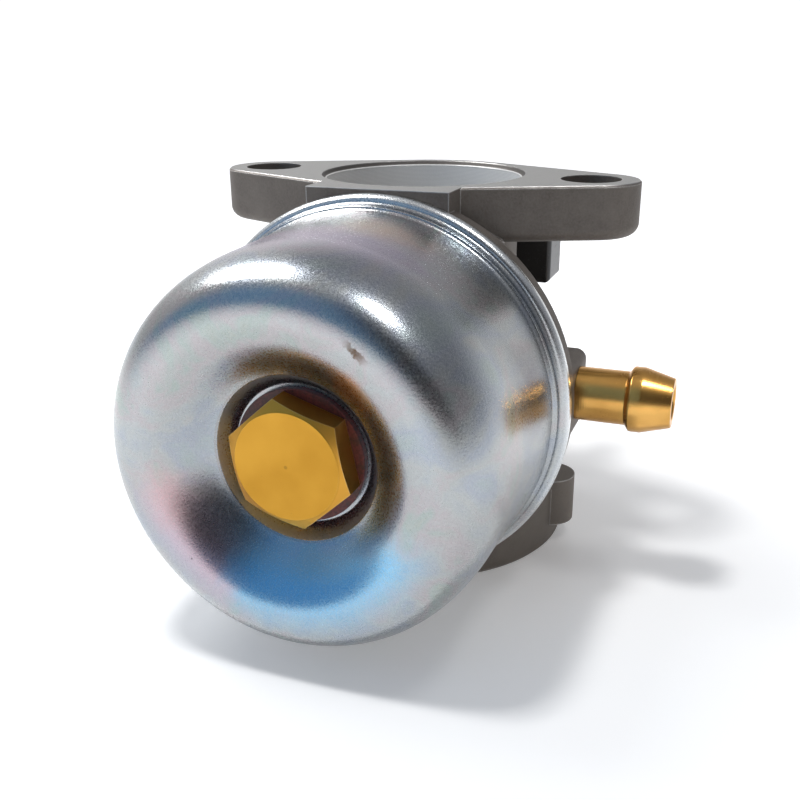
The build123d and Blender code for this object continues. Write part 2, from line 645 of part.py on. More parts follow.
# Throttle shaft
with BuildPart() as throttle_shaft:
    bar_y(0, throttle_z, -shaft_blind_end + 0.2, throttle_lever_end, throttle_shaft_radius)
    cut_plate_flat(throttle_z, throttle_bore_radius)
    bar_z(0, 0, throttle_z - 4, throttle_z + 4, plate_screw_radius + thread_clearance, mode=Mode.SUBTRACT)
throttle_shaft.part.label = "throttle_shaft"
export_step(throttle_shaft.part, "parts/throttle_shaft.step")

# Throttle plate and its screw
with BuildPart() as throttle_plate:
    bar_z(0, 0, throttle_z - plate_thickness / 2, throttle_z + plate_thickness / 2,
          throttle_bore_radius - plate_clearance)
    bar_z(0, 0, throttle_z - 4, throttle_z + 4, plate_screw_radius + thread_clearance, mode=Mode.SUBTRACT)
throttle_plate.part.label = "throttle_plate"
export_step(throttle_plate.part, "parts/throttle_plate.step")

with BuildPart() as throttle_plate_screw:
    slotted_screw(0, 0, throttle_z + plate_thickness / 2, 3.2, plate_screw_radius,
                  plate_screw_head_radius, plate_screw_head_height)
throttle_plate_screw.part.label = "throttle_plate_screw"
export_step(throttle_plate_screw.part, "parts/throttle_plate_screw.step")

# Throttle lever: hub, stop lug for the idle screw and an arm with a link hole
arm_tip_x = throttle_arm_length * math.cos(math.radians(throttle_arm_angle))
arm_tip_z = throttle_z + throttle_arm_length * math.sin(math.radians(throttle_arm_angle))
with BuildPart() as throttle_lever:
    bar_y(0, throttle_z, throttle_lever_start, throttle_lever_end, throttle_hub_radius)
    block((-stop_reach, 0), (throttle_lever_start, stop_end),
          (throttle_z - stop_width / 2, throttle_z + stop_width / 2))
    fillet(throttle_lever.edges().filter_by(Axis.Y).sort_by(Axis.X)[:2], 0.8)
    with BuildSketch(Plane.XZ.offset(-throttle_lever_end)):
        with Locations((arm_tip_x, arm_tip_z)):
            Circle(throttle_arm_width / 2)
        with Locations((0, throttle_z)):
            Circle(throttle_hub_radius - 0.3)
        make_hull()
    extrude(amount=arm_level)
    bar_y(arm_tip_x, arm_tip_z, arm_start - 1, throttle_lever_end + 1, link_hole_radius, mode=Mode.SUBTRACT)
    bar_y(0, throttle_z, throttle_lever_start - 1, throttle_lever_end + 1,
          throttle_shaft_radius + 0.02, mode=Mode.SUBTRACT)
throttle_lever.part.label = "throttle_lever"
export_step(throttle_lever.part, "parts/throttle_lever.step")

# Felt washers between the bosses and the levers
with BuildPart() as throttle_felt_washer:
    bar_y(0, throttle_z, throttle_boss_end, throttle_boss_end + throttle_felt_thickness,
          throttle_felt_radius)
    bar_y(0, throttle_z, throttle_boss_end - 1, throttle_lever_end,
          throttle_shaft_radius + felt_bore_clearance, mode=Mode.SUBTRACT)
throttle_felt_washer.part.label = "throttle_felt_washer"
export_step(throttle_felt_washer.part, "parts/throttle_felt_washer.step")

with BuildPart() as choke_felt_washer:
    bar_y(0, choke_z, choke_boss_end, choke_boss_end + choke_felt_thickness, choke_felt_radius)
    bar_y(0, choke_z, choke_boss_end - 1, choke_lever_start + 5,
          choke_shaft_radius + felt_bore_clearance, mode=Mode.SUBTRACT)
choke_felt_washer.part.label = "choke_felt_washer"
export_step(choke_felt_washer.part, "parts/choke_felt_washer.step")

# Choke shaft: one black moulding with its lever and thumb pad
choke_lever_back = choke_lever_start + choke_lever_thickness
choke_pad_back = choke_lever_start + choke_pad_depth
with BuildPart() as choke_shaft:
    bar_y(0, choke_z, -shaft_blind_end + 0.2, choke_lever_start + 1, choke_shaft_radius)
    cut_plate_flat(choke_z, choke_bore_radius)
    bar_z(0, 0, choke_z - 5, choke_z + 5, plate_screw_radius + thread_clearance, mode=Mode.SUBTRACT)
    with BuildSketch(Plane.XZ.offset(-choke_lever_back)):
        with Locations((choke_lever_end - 1.5, choke_z)):
            Rectangle(3, 7)
        with Locations((0, choke_z)):
            Circle(choke_hub_radius)
        make_hull()
    extrude(amount=choke_lever_thickness)
    block((choke_lever_end - choke_pad_width, choke_lever_end), (choke_lever_start, choke_pad_back),
          (choke_z - choke_pad_low, choke_z + choke_pad_high))
    fillet(choke_shaft.faces().sort_by(Axis.X)[-1].edges(), 0.7)
choke_shaft.part.label = "choke_shaft"
export_step(choke_shaft.part, "parts/choke_shaft.step")

# Choke plate and its screw
with BuildPart() as choke_plate:
    bar_z(0, 0, choke_z - plate_thickness / 2, choke_z + plate_thickness / 2,
          choke_bore_radius - plate_clearance)
    bar_z(0, 0, choke_z - 4, choke_z + 4, plate_screw_radius + thread_clearance, mode=Mode.SUBTRACT)
choke_plate.part.label = "choke_plate"
export_step(choke_plate.part, "parts/choke_plate.step")

with BuildPart() as choke_plate_screw:
    slotted_screw(0, 0, choke_z + plate_thickness / 2, 3.6, plate_screw_radius,
                  plate_screw_head_radius, plate_screw_head_height)
choke_plate_screw.part.label = "choke_plate_screw"
export_step(choke_plate_screw.part, "parts/choke_plate_screw.step")

# Idle speed screw, with a pointed end over the stop lug
idle_tip = throttle_z + stop_width / 2 + idle_tip_gap
idle_under_head = idle_boss_top + idle_spring_space
with BuildPart() as idle_speed_screw:
    slotted_screw(idle_screw_x, idle_screw_y, idle_under_head, idle_under_head - idle_tip,
                  idle_screw_radius, idle_head_radius, idle_head_height)
    chamfer(idle_speed_screw.edges().group_by(Axis.Z)[0], 0.9)
idle_speed_screw.part.label = "idle_speed_screw"
export_step(idle_speed_screw.part, "parts/idle_speed_screw.step")

# Spring under the idle screw's head
coil_radius = idle_screw_radius + idle_spring_wire + 0.1
coil_height = idle_spring_space - 2 * idle_spring_wire - 0.06
coil_start = (idle_screw_x, idle_screw_y, idle_boss_top + idle_spring_wire + 0.03)
with BuildPart() as idle_screw_spring:
    with BuildLine() as coil:
        Helix(coil_height / idle_spring_turns, coil_height, coil_radius, center=coil_start)
    with BuildSketch(Plane(origin=coil.line @ 0, z_dir=coil.line % 0)):
        Circle(idle_spring_wire)
    sweep(path=coil.line)
idle_screw_spring.part.label = "idle_screw_spring"
export_step(idle_screw_spring.part, "parts/idle_screw_spring.step")

# Throttle return spring round its boss, with one leg on the idle boss and one on the lever
return_pitch = 2 * return_spring_wire + 0.15
return_start = throat_radius + return_spring_wire + 0.4
winding_plane = Plane(origin=(0, return_start, throttle_z), x_dir=(-1, 0, 0), z_dir=(0, 1, 0))
with BuildPart() as throttle_return_spring:
    with BuildLine() as winding:
        add(winding_plane.location * Helix(return_pitch, return_pitch * return_spring_turns, return_radius,
                                           mode=Mode.PRIVATE))
    with BuildSketch(Plane(origin=winding.line @ 0, z_dir=winding.line % 0)):
        Circle(return_spring_wire)
    sweep(path=winding.line)
    first = winding.line @ 0
    last = winding.line @ 1
    bar_z(first.X, first.Y, first.Z, idle_boss_bottom - 0.1, return_spring_wire)
    bar_y(last.X, last.Z, last.Y, throttle_lever_start + 2.5, return_spring_wire)
throttle_return_spring.part.label = "throttle_return_spring"
export_step(throttle_return_spring.part, "parts/throttle_return_spring.step")
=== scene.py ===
import json
import math

import bmesh
import bpy
import numpy as np
from mathutils import Matrix, Vector


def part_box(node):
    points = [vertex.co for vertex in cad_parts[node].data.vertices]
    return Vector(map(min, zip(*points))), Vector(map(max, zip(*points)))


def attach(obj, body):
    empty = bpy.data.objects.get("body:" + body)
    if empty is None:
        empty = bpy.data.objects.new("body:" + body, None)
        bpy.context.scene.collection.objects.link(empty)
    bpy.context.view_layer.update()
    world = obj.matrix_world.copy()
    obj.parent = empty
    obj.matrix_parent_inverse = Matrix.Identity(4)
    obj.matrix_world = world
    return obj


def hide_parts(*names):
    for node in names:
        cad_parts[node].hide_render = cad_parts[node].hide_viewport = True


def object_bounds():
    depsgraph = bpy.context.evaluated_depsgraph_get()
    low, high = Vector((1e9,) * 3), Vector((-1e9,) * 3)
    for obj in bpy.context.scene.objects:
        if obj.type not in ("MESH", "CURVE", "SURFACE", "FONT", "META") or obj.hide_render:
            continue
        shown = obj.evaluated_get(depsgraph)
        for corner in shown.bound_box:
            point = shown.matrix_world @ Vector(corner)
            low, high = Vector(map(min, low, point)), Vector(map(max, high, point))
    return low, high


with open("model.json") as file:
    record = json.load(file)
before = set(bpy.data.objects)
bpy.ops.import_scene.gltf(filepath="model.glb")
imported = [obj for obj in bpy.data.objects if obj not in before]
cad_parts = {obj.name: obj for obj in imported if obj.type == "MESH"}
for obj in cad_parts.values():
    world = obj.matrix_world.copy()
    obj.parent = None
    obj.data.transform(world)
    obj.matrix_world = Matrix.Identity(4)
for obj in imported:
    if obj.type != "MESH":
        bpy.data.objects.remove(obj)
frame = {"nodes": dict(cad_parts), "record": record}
cad_low, cad_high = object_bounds()

# Float-bowl carburetor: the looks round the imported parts. Metres, in the part's own frame: +Z up the
# throat, the bowl along -Y, the fuel hose tail along +X, the outlet face standing on the floor.

MM = 0.001
BODIES = frame["record"]["behaviour"]["bodies"]
BODY_OF = {node: body for body, nodes in BODIES.items() for node in nodes}
SLOT_OF = {part["node"]: part["material_slot"] for part in frame["record"]["subparts"]}

bowl_low, bowl_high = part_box("float_bowl")
BOWL_X = (bowl_low.x + bowl_high.x) / 2 / MM
BOWL_Z = (bowl_low.z + bowl_high.z) / 2 / MM
RIM_RADIUS = (bowl_high.x - bowl_low.x) / 2 / MM
CROWN_Y = bowl_low.y / MM
COVER_Y = bowl_high.y / MM
TOP_Z = cad_high.z / MM
NUT_FACE_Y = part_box("bowl_nut")[0].y / MM

# sizes of the throat, in millimetres
INLET_RADIUS = 12.9
INLET_DEPTH = 5.0
CHOKE_RADIUS = 11.2

# sizes of the pressed cup, in millimetres
WALL = 0.9
HOLE_RADIUS = 3.7
RECESS_RADIUS = 8.0
DISH_RADIUS = 9.4
CROWN_RADIUS = 17.0
BOWL_RADIUS = 22.95
RING_Y = CROWN_Y + 4.7
RECESS_Y = RING_Y + 2.0
RIM_Y = COVER_Y - 1.6
WAIST = (BOWL_RADIUS - 0.45, CROWN_Y + 10.7)
CUP_STEPS = 240
OUT_OF_ROUND = 0.022
OUT_OF_FLAT = 0.030


# ---------------------------------------------------------------- shader maths

class Number:
    """A number that varies over a surface. Arithmetic on it adds Math nodes."""

    def __init__(self, finish, socket):
        self.finish = finish
        self.socket = socket

    def maths(self, operation, *values):
        return self.finish.node("ShaderNodeMath", {"operation": operation}, *values)

    def __add__(self, other):
        return self.maths("ADD", self, other)

    def __radd__(self, other):
        return self.maths("ADD", other, self)

    def __sub__(self, other):
        return self.maths("SUBTRACT", self, other)

    def __rsub__(self, other):
        return self.maths("SUBTRACT", other, self)

    def __mul__(self, other):
        return self.maths("MULTIPLY", self, other)

    def __rmul__(self, other):
        return self.maths("MULTIPLY", other, self)

    def __pow__(self, other):
        return self.maths("POWER", self, other)

    def at_most(self, other):
        return self.maths("MINIMUM", self, other)

    def at_least(self, other):
        return self.maths("MAXIMUM", self, other)

    def sine(self):
        return self.maths("SINE", self)

    def size(self):
        return self.maths("ABSOLUTE", self)

    def rise(self, start, end):
        """0 before start, 1 past end and a smooth step between; start may be the larger."""
        settings = {"interpolation_type": "SMOOTHSTEP"}
        low, high, at_low, at_high = (start, end, 0.0, 1.0) if start < end else (end, start, 1.0, 0.0)
        return self.finish.node("ShaderNodeMapRange", settings, self, low, high, at_low, at_high)

    def near(self, centre, reach):
        """1 at centre, falling smoothly to 0 at that reach either side."""
        return (self - centre).size().rise(reach, 0.0)


def distance(across, up):
    """Root of the sum of the squares of the two."""
    return (across * across + up * up) ** 0.5


class Nodes:
    """A node tree, and the one method that adds nodes to it."""

    def __init__(self, tree):
        self.tree = tree
        tree.nodes.clear()

    def node(self, kind, settings, *values, output=0, **named):
        """Adds a node: its settings first, then the values or links of its sockets."""
        made = self.tree.nodes.new(kind)
        for key, value in settings.items():
            if key == "stops":
                while len(made.color_ramp.elements) < len(value):
                    made.color_ramp.elements.new(0.5)
                for element, (position, colour) in zip(made.color_ramp.elements, value):
                    element.position = position
                    element.color = (*colour, 1.0)
            else:
                setattr(made, key, value)
        pairs = list(zip(made.inputs, values))
        pairs += [(made.inputs[key.replace("_", " ")], value) for key, value in named.items()]
        for socket, value in pairs:
            if value is None:
                continue
            if isinstance(value, Number):
                self.tree.links.new(value.socket, socket)
            elif socket.type == "RGBA" and len(value) == 3:
                socket.default_value = (*value, 1.0)
            else:
                socket.default_value = value
        return Number(self, made.outputs[output]) if made.outputs else None

    def other(self, number, output):
        """Another output of the node that a number comes from."""
        return Number(self, number.socket.node.outputs[output])

    def parts(self, vector):
        """The x, y and z of a vector."""
        split = self.node("ShaderNodeSeparateXYZ", {}, vector)
        return [self.other(split, i) for i in range(3)]

    def mix(self, mask, base, over):
        """base where mask is 0, over where it is 1; the mixer's colours are its sockets 6 and 7."""
        skipped = [None] * 5
        return self.node("ShaderNodeMix", {"data_type": "RGBA"}, mask, *skipped, base, over,
                         output=2)


class Finish(Nodes):
    """One material: its surface shader, its coordinates in millimetres and the nodes between."""

    def __init__(self, name, **constants):
        self.material = bpy.data.materials.new(name)
        self.material.use_nodes = True
        super().__init__(self.material.node_tree)
        surface = self.node("ShaderNodeBsdfPrincipled", {}, **constants)
        self.shader = surface.socket.node
        self.node("ShaderNodeOutputMaterial", {}, Surface=surface)
        place = self.node("ShaderNodeTexCoord", {}, output="Object")
        self.place = self.node("ShaderNodeVectorMath", {"operation": "SCALE"}, place, Scale=1 / MM)
        self.x, self.y, self.z = self.parts(self.place)

    def noise(self, size, detail=2.0, roughness=0.5, stretch=None, distortion=0.0):
        """Cloudy pattern with features of that size in millimetres, stretched along an axis if asked."""
        place = self.place
        if stretch:
            place = self.node("ShaderNodeMapping", {}, place, Scale=stretch)
        return self.node("ShaderNodeTexNoise", {}, place, Scale=1 / size, Detail=detail,
                         Roughness=roughness, Distortion=distortion)

    def cells(self, size):
        """Distance to the nearest of scattered points about that far apart, in cell sizes."""
        return self.node("ShaderNodeTexVoronoi", {}, self.place, Scale=1 / size)

    def flecks(self, size, radius, share, seed=0.0):
        """Small round spots of that radius, kept in only a share of the cells."""
        place = self.node("ShaderNodeVectorMath", {"operation": "ADD"}, self.place, (seed, seed, seed))
        distance = self.node("ShaderNodeTexVoronoi", {}, place, Scale=1 / size, output="Distance")
        pick = self.node("ShaderNodeSeparateColor", {}, self.other(distance, "Color"))
        spot = distance.rise(radius / size, 0.5 * radius / size)
        return spot * pick.rise(share, share * 0.8)

    def ramp(self, value, *stops):
        """Colour along stops of (position, colour)."""
        return self.node("ShaderNodeValToRGB", {"stops": stops}, value)

    def edges(self, radius):
        """1 on edges that a hand or a tumbler would wear, within that many millimetres."""
        rounded = self.node("ShaderNodeBevel", {"samples": 6}, radius * MM)
        flat = self.node("ShaderNodeNewGeometry", {}, output="Normal")
        agreement = self.node("ShaderNodeVectorMath", {"operation": "DOT_PRODUCT"}, rounded, flat,
                              output=1)
        return (1 - agreement).rise(0.01, 0.12)

    def bump(self, height, depth, under=None):
        """Normal of a relief: height from 0 to 1, depth in millimetres."""
        return self.node("ShaderNodeBump", {}, Strength=1.0, Distance=depth * MM, Height=height,
                         Normal=under)

    def connect(self, **inputs):
        """Links what varies to the surface shader."""
        for name, value in inputs.items():
            self.tree.links.new(value.socket, self.shader.inputs[name.replace("_", " ")])


# ---------------------------------------------------------------- finishes

def cast_metal():
    """Die-cast aluminium alloy, grey-brown and satin, with machined faces, worn edges and painted shade
    in the bore.
    """
    finish = Finish("sand_grey_casting", IOR=1.5)
    cloud = finish.noise(7.0, 4.0, 0.6)
    grain = finish.noise(0.28, 3.0, 0.65)
    patch = finish.noise(2.2, 3.0, 0.55)
    colour = finish.ramp(
        cloud * 0.6 + patch * 0.4,
        (0.30, (0.068, 0.055, 0.046)), (0.50, (0.105, 0.088, 0.075)), (0.68, (0.155, 0.134, 0.117)))
    colour = finish.mix((grain - 0.5) * 1.1 + 0.45, colour, (0.19, 0.170, 0.152))
    # the outlet end is paler
    outlet = finish.z.rise(12.0, 8.0)
    colour = finish.mix(outlet * 0.35, colour, (0.30, 0.265, 0.225))
    # turned bore and milled flange face
    radius = distance(finish.x, finish.y)
    depth = TOP_Z - finish.z
    wide_bore = radius.rise(INLET_RADIUS + 0.15, INLET_RADIUS + 0.05)
    wide_bore = wide_bore * depth.rise(INLET_DEPTH + 0.3, INLET_DEPTH + 0.1)
    narrow_bore = radius.rise(CHOKE_RADIUS + 0.25, CHOKE_RADIUS + 0.15) * depth.rise(16.0, 15.0)
    in_bore = wide_bore.at_least(narrow_bore)
    # painted shade round the lip of the bore
    lip_shade = radius.near(INLET_RADIUS + 0.35, 0.45) * depth.rise(0.9, 0.7)
    milled = depth.rise(0.14, 0.04) * (1 - in_bore)
    scratches = finish.noise(0.22, 2.0, 0.5, stretch=(0.25, 3.0, 1.0))
    milled_colour = finish.mix(scratches, (0.25, 0.246, 0.238), (0.38, 0.375, 0.366))
    colour = finish.mix(milled * 0.85, colour, milled_colour)
    rings = (finish.z * 34.0 + patch * 2.0).sine() * 0.5 + 0.5
    colour = finish.mix(in_bore, colour, finish.mix(rings, (0.74, 0.73, 0.70), (0.90, 0.885, 0.86)))
    # painted shade: a dark line where the bore steps in, and round its lip
    step_shade = (depth - INLET_DEPTH).size().rise(0.30, 0.10)
    step_shade = step_shade * in_bore * radius.rise(CHOKE_RADIUS + 0.4, CHOKE_RADIUS + 1.2)
    colour = finish.mix((step_shade + lip_shade).at_most(1.0) * 0.85, colour, (0.045, 0.042, 0.04))
    # worn edges, rust flecks and handling marks
    worn = finish.edges(0.30) * (patch * 1.6).at_most(1.0)
    colour = finish.mix(worn * 0.75, colour, (0.62, 0.61, 0.60))
    rust = finish.flecks(3.4, 0.30, 0.05, 4.0)
    colour = finish.mix(rust * 0.8, colour, (0.20, 0.075, 0.03))
    dark = finish.flecks(1.1, 0.09, 0.20)
    colour = finish.mix(dark * 0.6, colour, (0.05, 0.045, 0.04))
    machined = (in_bore + milled).at_most(1.0)
    roughness = 0.52 + grain * 0.16 - machined * 0.20 - worn * 0.12
    metal = 0.62 + milled * 0.30 + worn * 0.25 - in_bore * 0.58
    relief = finish.bump(grain * 0.7 + patch * 0.5 - dark * 0.4, 0.035)
    fine = finish.bump(scratches * milled + rings * in_bore * 0.6, 0.006, relief)
    finish.connect(Base_Color=colour, Roughness=roughness, Metallic=metal.at_most(1.0), Normal=fine)
    return finish.material


def zinc_plate():
    """Bright zinc plate on drawn steel, with a thin passivation film that shows faint colours, and
    painted shade, reflections and highlights.
    """
    finish = Finish("passivated_zinc")
    across = finish.x - BOWL_X
    up = finish.z - BOWL_Z
    radius = distance(across, up)
    on_end = finish.y.rise(CROWN_Y + 6.5, CROWN_Y + 3.0)
    # film thickness drifts slowly over the cup
    drift = finish.noise(11.0, 3.0, 0.5, distortion=0.6)
    streak = finish.noise(5.0, 3.0, 0.55, stretch=(1.0, 0.35, 1.0), distortion=1.0)
    film = drift * 0.65 + streak * 0.35
    colour = finish.ramp(
        film, (0.26, (0.33, 0.37, 0.34)), (0.36, (0.34, 0.39, 0.40)), (0.43, (0.34, 0.37, 0.42)),
        (0.50, (0.39, 0.41, 0.41)), (0.56, (0.41, 0.38, 0.39)), (0.62, (0.35, 0.40, 0.38)),
        (0.72, (0.40, 0.39, 0.34)))
    # stains of the film: blue low in the dish, violet beside it, straw beside the nut, rose and peach on
    # top of the cup; painted olive shade beside the nut and a painted dark reflection on its right side
    soft = finish.noise(3.0, 4.0, 0.6)
    ragged = (soft - 0.5) * 5.0
    low_dish = radius.near(13.2, 6.5) * (up + ragged).rise(-3.0, -10.0) * on_end
    colour = finish.mix(low_dish * 0.90, colour, (0.20, 0.54, 0.80))
    violet = radius.near(14.2, 5.5) * (across + ragged).rise(-4.0, -8.5)
    violet = violet * (up + ragged).rise(-0.5, -6.0) * on_end
    colour = finish.mix(violet * 0.88, colour, (0.60, 0.37, 0.38))
    # painted shade: dark olive beside the nut, standing for its shade and reflection in the dish
    nut_shade = radius.near(10.4, 3.6) * (across + up * 0.9).rise(2.0, 7.5) * on_end
    colour = finish.mix(nut_shade * 0.72, colour, (0.115, 0.105, 0.075))
    straw_x, straw_z = 7.3, 9.1
    straw = distance(across - straw_x, up - straw_z) + ragged * 0.30
    colour = finish.mix(straw.rise(3.4, 0.8) * on_end * 0.85, colour, (0.74, 0.36, 0.13))
    rose = finish.y.near(-33.0, 9.0) * (up + ragged).rise(17.0, 22.5)
    colour = finish.mix(rose * 0.80, colour, (0.41, 0.33, 0.46))
    peach = finish.y.near(-26.0, 6.0) * (up + ragged).rise(19.0, 23.0)
    peach = peach * (across - ragged).rise(-2.0, 5.0)
    colour = finish.mix(peach * 0.75, colour, (0.60, 0.40, 0.30))
    # painted reflection: a dark patch on the cup's right side standing for the hose tail reflected there
    tail_reflection = finish.y.near(-26.0, 8.0) * (across + ragged).rise(17.0, 22.0) * up.near(6.5, 9.0)
    colour = finish.mix(tail_reflection * 0.85, colour, (0.12, 0.10, 0.105))
    # dull ring where the nut's recess begins, and the recess painted pale and less metallic, a painted
    # reflection
    seat = (radius + (soft - 0.5) * 0.25).near(DISH_RADIUS + 0.15, 0.16) * on_end
    colour = finish.mix(seat * 0.65, colour, (0.26, 0.19, 0.13))
    recess = radius.rise(DISH_RADIUS + 0.05, DISH_RADIUS - 0.15) * on_end
    colour = finish.mix(recess * 0.6, colour, (0.56, 0.55, 0.52))
    # a scuff where a spanner slipped, with rust in it
    crumbs = finish.noise(0.55, 3.0, 0.6)
    scuff_x, scuff_z = 8.9, 14.5
    lean_cosine, lean_sine = 0.72, 0.69
    along = (across - scuff_x) * lean_cosine - (up - scuff_z) * lean_sine
    beside = (across - scuff_x) * lean_sine + (up - scuff_z) * lean_cosine + (crumbs - 0.5) * 1.3
    scuff = along.near(0.5, 1.9) * beside.size().rise(0.50, 0.20) * on_end
    colour = finish.mix(scuff * 0.95, colour, (0.17, 0.10, 0.055))
    # painted shade: dark blue in the crease of the rim, and a painted highlight along the roll past it
    crease_shade = finish.y.near(COVER_Y - 2.42, 0.50) * radius.rise(BOWL_RADIUS + 0.30, BOWL_RADIUS + 0.55)
    colour = finish.mix(crease_shade * 0.75, colour, (0.07, 0.10, 0.14))
    # painted highlight: near-white along the rolled rim
    roll = finish.y.near(COVER_Y - 1.0, 1.05) * radius.rise(BOWL_RADIUS + 0.45, BOWL_RADIUS + 0.85)
    colour = finish.mix(roll * 0.9, colour, (0.90, 0.93, 0.94))
    # crystals of the plate, dark pits and a few rust specks
    sparkle = finish.noise(0.21, 2.0, 0.75)
    crystal = finish.cells(0.30)
    pits = finish.flecks(2.1, 0.13, 0.16)
    low_left_x, low_left_z = -10.5, -12.5
    low_left = (across - low_left_x).size().rise(4.5, 1.0) * on_end
    low_left = low_left * (up - low_left_z).size().rise(4.5, 1.0)
    pits = (pits + finish.flecks(0.9, 0.13, 0.35, 2.0) * low_left).at_most(1.0)
    rust = finish.flecks(5.2, 0.26, 0.07, 9.0)
    colour = finish.mix((sparkle - 0.5) * 0.8 + 0.12, colour, (0.60, 0.61, 0.62))
    colour = finish.mix(pits * 0.6, colour, (0.10, 0.09, 0.08))
    colour = finish.mix(rust * 0.8, colour, (0.28, 0.13, 0.06))
    roughness = 0.25 + (sparkle - 0.5) * 0.26 + soft * 0.06
    roughness = roughness + (rust + pits + scuff) * 0.3 + recess * 0.12
    relief = finish.bump(soft * 0.8 + drift * 0.6, 0.020)
    grain = finish.bump(sparkle * 0.8 + crystal * 0.35 - (pits + scuff) * 0.8, 0.0125, relief)
    finish.connect(Base_Color=colour, Roughness=roughness, Normal=grain, Metallic=1.0 - recess * 0.55)
    return finish.material


def turned_brass(name, bright, deep, roughness, axis, turn_pitch):
    """Turned brass: rings of the tool round the given axis, soft tarnish and handling marks."""
    finish = Finish(name)
    tarnish = finish.noise(4.5, 3.0, 0.45)
    grain = finish.noise(0.20, 2.0, 0.6)
    colour = finish.mix(tarnish.rise(0.25, 0.80), bright, deep)
    turns = 2 * math.pi / turn_pitch
    if axis == "face":
        radius = distance(finish.x - BOWL_X, finish.z - BOWL_Z)
        rings = (radius * turns).sine() * 0.5 + 0.5
        centre_dot = radius.rise(0.26, 0.14) * finish.y.rise(NUT_FACE_Y + 0.3, NUT_FACE_Y + 0.1)
        colour = finish.mix(centre_dot * 0.45, colour, (0.20, 0.10, 0.02))
        chamfer = finish.y.rise(NUT_FACE_Y + 0.03, NUT_FACE_Y + 0.10)
        colour = finish.mix(chamfer * 0.40, colour, (0.76, 0.38, 0.07))
    else:
        rings = (finish.x * turns).sine() * 0.5 + 0.5
    worn = finish.edges(0.16)
    colour = finish.mix(worn * 0.5, colour, (0.98, 0.78, 0.42))
    pits = finish.flecks(1.1, 0.065, 0.22, 3.0)
    colour = finish.mix(pits * 0.7, colour, (0.16, 0.08, 0.03))
    rough = roughness + tarnish * 0.12 + grain * 0.08 - worn * 0.1
    relief = finish.bump(rings * 0.4 + grain * 0.5 - pits, 0.004)
    finish.connect(Base_Color=colour, Roughness=rough, Normal=relief, Metallic=0.93 - pits * 0.4)
    return finish.material


def fibre():
    """Vulcanised fibre washer, dark red with pressed fibres and dirty oil on it."""
    finish = Finish("red_fibre_board", IOR=1.5)
    strands = finish.noise(0.30, 3.0, 0.6, stretch=(1.0, 0.3, 1.0))
    oil = finish.noise(1.6, 3.0, 0.6)
    colour = finish.ramp(
        strands, (0.3, (0.060, 0.010, 0.010)), (0.6, (0.150, 0.024, 0.022)), (0.8, (0.22, 0.05, 0.04)))
    colour = finish.mix(oil.rise(0.45, 0.7) * 0.7, colour, (0.03, 0.014, 0.010))
    finish.connect(Base_Color=colour, Roughness=0.55 - oil * 0.25, Normal=finish.bump(strands, 0.03))
    return finish.material


def moulded(name, base, light, roughness, gloss, scratch):
    """Moulded polymer: faint cloud of the melt, fine texture of the tool and scratches."""
    finish = Finish(name, IOR=1.5, Coat_Roughness=0.08)
    cloud = finish.noise(3.5, 3.0, 0.5)
    spark = finish.noise(0.12, 2.0, 0.6)
    scuff = finish.noise(0.35, 4.0, 0.6, stretch=(1.0, 0.12, 1.6), distortion=0.4).rise(0.60, 0.68)
    worn = finish.edges(0.18)
    colour = finish.mix(cloud * 0.5 + spark * 0.2, base, light)
    scraped = tuple(min(1.0, 3 * c + 0.03) for c in light)
    colour = finish.mix((scuff * scratch + worn * 0.35).at_most(1.0), colour, scraped)
    rough = roughness + spark * 0.12 + scuff * 0.15
    relief = finish.bump(cloud * 0.5 + spark * 0.35 - scuff * scratch * 0.4, 0.012)
    finish.connect(Base_Color=colour, Roughness=rough, Normal=relief,
                   Coat_Weight=gloss - scuff * scratch * gloss)
    return finish.material


def rubber(name, base, dusty):
    """Matt rubber with a bloom of dust."""
    finish = Finish(name, IOR=1.5)
    bloom = finish.noise(1.2, 4.0, 0.65)
    grain = finish.noise(0.15, 2.0, 0.6)
    colour = finish.mix(bloom.rise(0.35, 0.75) * 0.6, base, dusty)
    finish.connect(Base_Color=colour, Roughness=0.62 + grain * 0.25, Normal=finish.bump(grain, 0.015))
    return finish.material


def ground_steel(name, dull, bright, roughness, stretch, stain=0.3):
    """Ground or drawn steel: fine lines along one direction, oil stains and worn edges."""
    finish = Finish(name)
    lines = finish.noise(0.10, 3.0, 0.6, stretch=stretch)
    oil = finish.noise(1.8, 4.0, 0.6)
    worn = finish.edges(0.15)
    colour = finish.mix(lines, dull, bright)
    colour = finish.mix(oil.rise(0.52, 0.75) * stain, colour, (0.20, 0.15, 0.10))
    colour = finish.mix(worn * 0.4, colour, (0.88, 0.87, 0.85))
    rough = roughness + lines * 0.14 + oil * 0.08
    finish.connect(Base_Color=colour, Roughness=rough, Metallic=1.0 - oil.rise(0.6, 0.8) * 0.3,
                   Normal=finish.bump(lines, 0.004))
    return finish.material


def pressed_felt():
    """Grey wool felt: matted fibres with loose hairs and a little oil."""
    finish = Finish("grey_wool_felt", IOR=1.45, Sheen_Weight=0.4, Sheen_Roughness=0.5)
    hairs = finish.noise(0.18, 5.0, 0.75, stretch=(1.0, 0.4, 1.0), distortion=1.5)
    mat = finish.noise(0.9, 4.0, 0.6)
    colour = finish.ramp(
        hairs * 0.7 + mat * 0.3,
        (0.30, (0.16, 0.145, 0.12)), (0.50, (0.36, 0.34, 0.29)), (0.70, (0.58, 0.56, 0.50)))
    finish.connect(Base_Color=colour, Roughness=0.85 + mat * 0.1, Normal=finish.bump(hairs, 0.08))
    return finish.material


